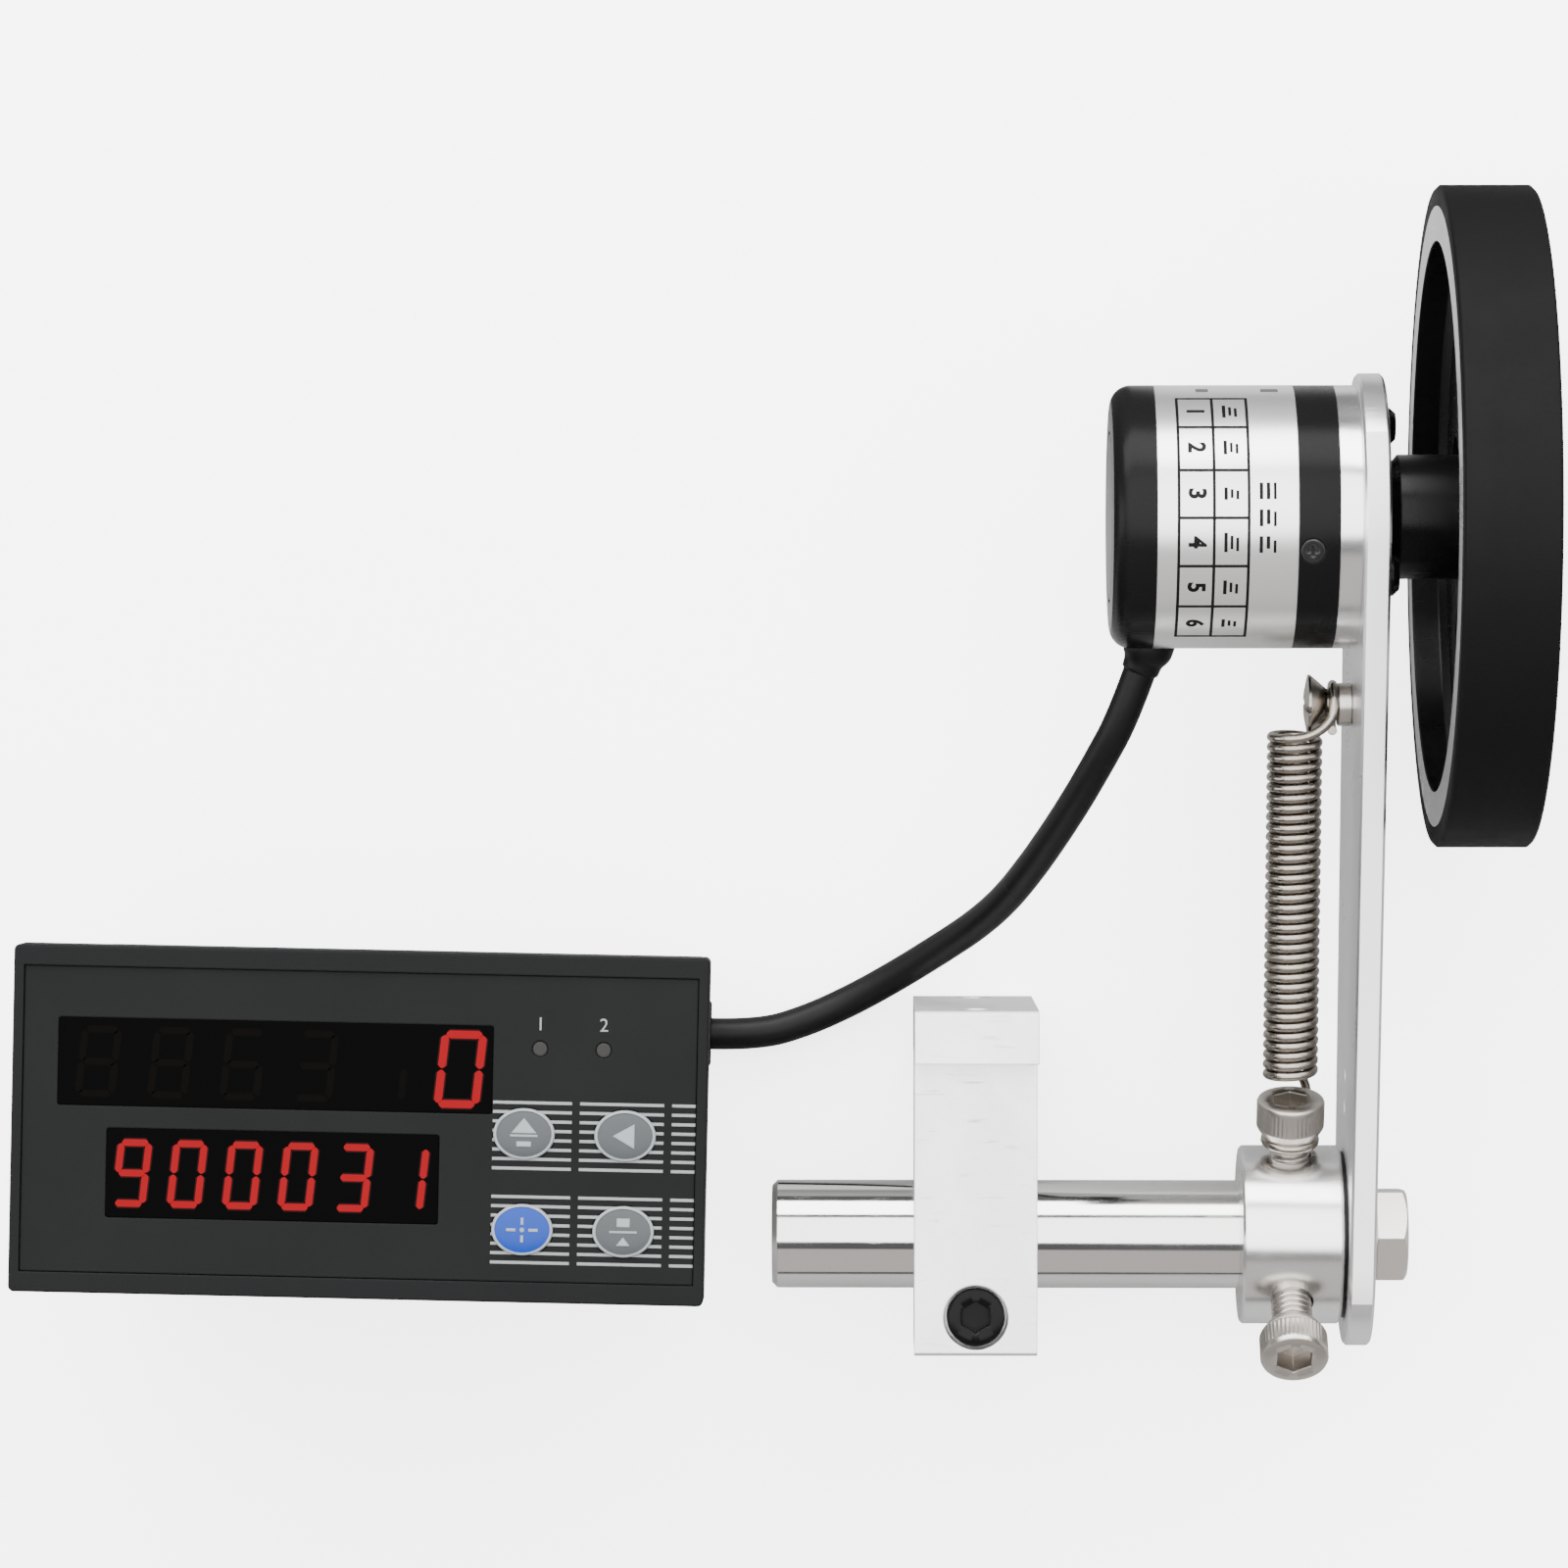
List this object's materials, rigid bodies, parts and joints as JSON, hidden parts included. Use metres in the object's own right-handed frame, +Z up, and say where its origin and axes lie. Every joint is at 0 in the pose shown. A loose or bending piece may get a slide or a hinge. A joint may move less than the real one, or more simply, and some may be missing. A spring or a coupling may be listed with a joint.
{
  "type": "cable length counter",
  "caption": "Length counter with a rubber-tyred measuring wheel and encoder on a sprung arm, a rod clamp block and a panel meter with red digits, joined by a cable.",
  "frame": {"origin": "centre of the clamp block's mounting face, as the parts lie on a bench", "axes": "+X along the support rod towards the arm and wheel, +Y out of the mounting face, +Z up from the bench, which is 25 mm below the origin"},
  "size_m": [0.214, 0.1735, 0.0955],
  "materials": {
    "machined_aluminium": "satin",
    "bright_steel": "satin",
    "ground_steel": "polished",
    "stainless": "satin",
    "black_steel": "satin",
    "black_plastic": "matte",
    "dark_plastic": "matte",
    "panel_film": "satin",
    "smoked_window": "gloss",
    "display_module": "gloss",
    "circuit_board": "satin",
    "lamp_lens": "gloss",
    "component_plastic": "matte",
    "transformer_iron": "matte",
    "grey_key": "satin",
    "blue_key": "satin",
    "encoder_black": "satin",
    "label_silver": "satin",
    "cable_rubber": "matte",
    "tread_rubber": "matte",
    "disc_steel": "satin"
  },
  "bodies": {
    "base": {"clamp_block": "machined_aluminium", "clamp_screw": "black_steel", "meter_bezel": "dark_plastic", "front_panel": "panel_film", "display_windows": "smoked_window", "upper_display": "display_module", "lower_display": "display_module", "display_board": "circuit_board", "indicator_lamps": "lamp_lens", "key_switches": "component_plastic", "meter_housing": "dark_plastic", "rear_cover": "dark_plastic", "power_board": "circuit_board", "power_transformer": "transformer_iron", "alarm_relays": "component_plastic", "filter_capacitors": "component_plastic", "terminal_blocks": "dark_plastic", "terminal_screws": "stainless", "mounting_clips": "dark_plastic", "signal_plug": "dark_plastic", "signal_cable_lower": "cable_rubber"},
    "rod": {"support_rod": "ground_steel", "stop_collar": "bright_steel", "collar_screws": "stainless", "pivot_washer": "black_plastic", "pivot_bolt": "stainless", "tension_spring": "stainless", "signal_cable_upper": "cable_rubber"},
    "arm": {"arm_plate": "machined_aluminium", "spring_post": "stainless", "post_sleeve": "stainless", "encoder_flange": "machined_aluminium", "encoder_cover": "encoder_black", "encoder_label": "label_silver", "cover_screw": "stainless", "cable_gland": "cable_rubber", "encoder_bearings": "ground_steel", "encoder_board": "circuit_board", "optical_sensor": "component_plastic", "encoder_screws": "stainless"},
    "wheel": {"wheel_hub": "machined_aluminium", "wheel_tread": "tread_rubber", "encoder_shaft": "ground_steel", "code_disc": "disc_steel", "hub_set_screw": "stainless"},
    "key_up": {"key_up": "grey_key"},
    "key_left": {"key_left": "grey_key"},
    "key_set": {"key_set": "blue_key"},
    "key_reset": {"key_reset": "grey_key"}
  },
  "joints": [
    {"name": "rod_slide", "type": "slide", "parent": "base", "child": "rod", "axis": [1, 0, 0], "range_m": [-0.01, 0.02], "deforming": ["signal_cable_lower"]},
    {"name": "arm_swing", "type": "hinge", "parent": "rod", "child": "arm", "pos_m": [0.0564, -0.0342, 0], "axis": [1, 0, 0], "range_deg": [-35, 28], "stiffness_Nm_per_rad": 0.38, "springref_deg": 8.82, "deforming": ["tension_spring", "signal_cable_upper"]},
    {"name": "wheel_spin", "type": "hinge", "parent": "arm", "child": "wheel", "pos_m": [0.0728, 0.07138, 0.02275], "axis": [1, 0, 0], "continuous": true},
    {"name": "key_up_press", "type": "slide", "parent": "base", "child": "key_up", "axis": [0, 0, -1], "range_m": [0, 0.0004], "stiffness_N_per_m": 800},
    {"name": "key_left_press", "type": "slide", "parent": "base", "child": "key_left", "axis": [0, 0, -1], "range_m": [0, 0.0004], "stiffness_N_per_m": 800},
    {"name": "key_set_press", "type": "slide", "parent": "base", "child": "key_set", "axis": [0, 0, -1], "range_m": [0, 0.0004], "stiffness_N_per_m": 800},
    {"name": "key_reset_press", "type": "slide", "parent": "base", "child": "key_reset", "axis": [0, 0, -1], "range_m": [0, 0.0004], "stiffness_N_per_m": 800}
  ]
}
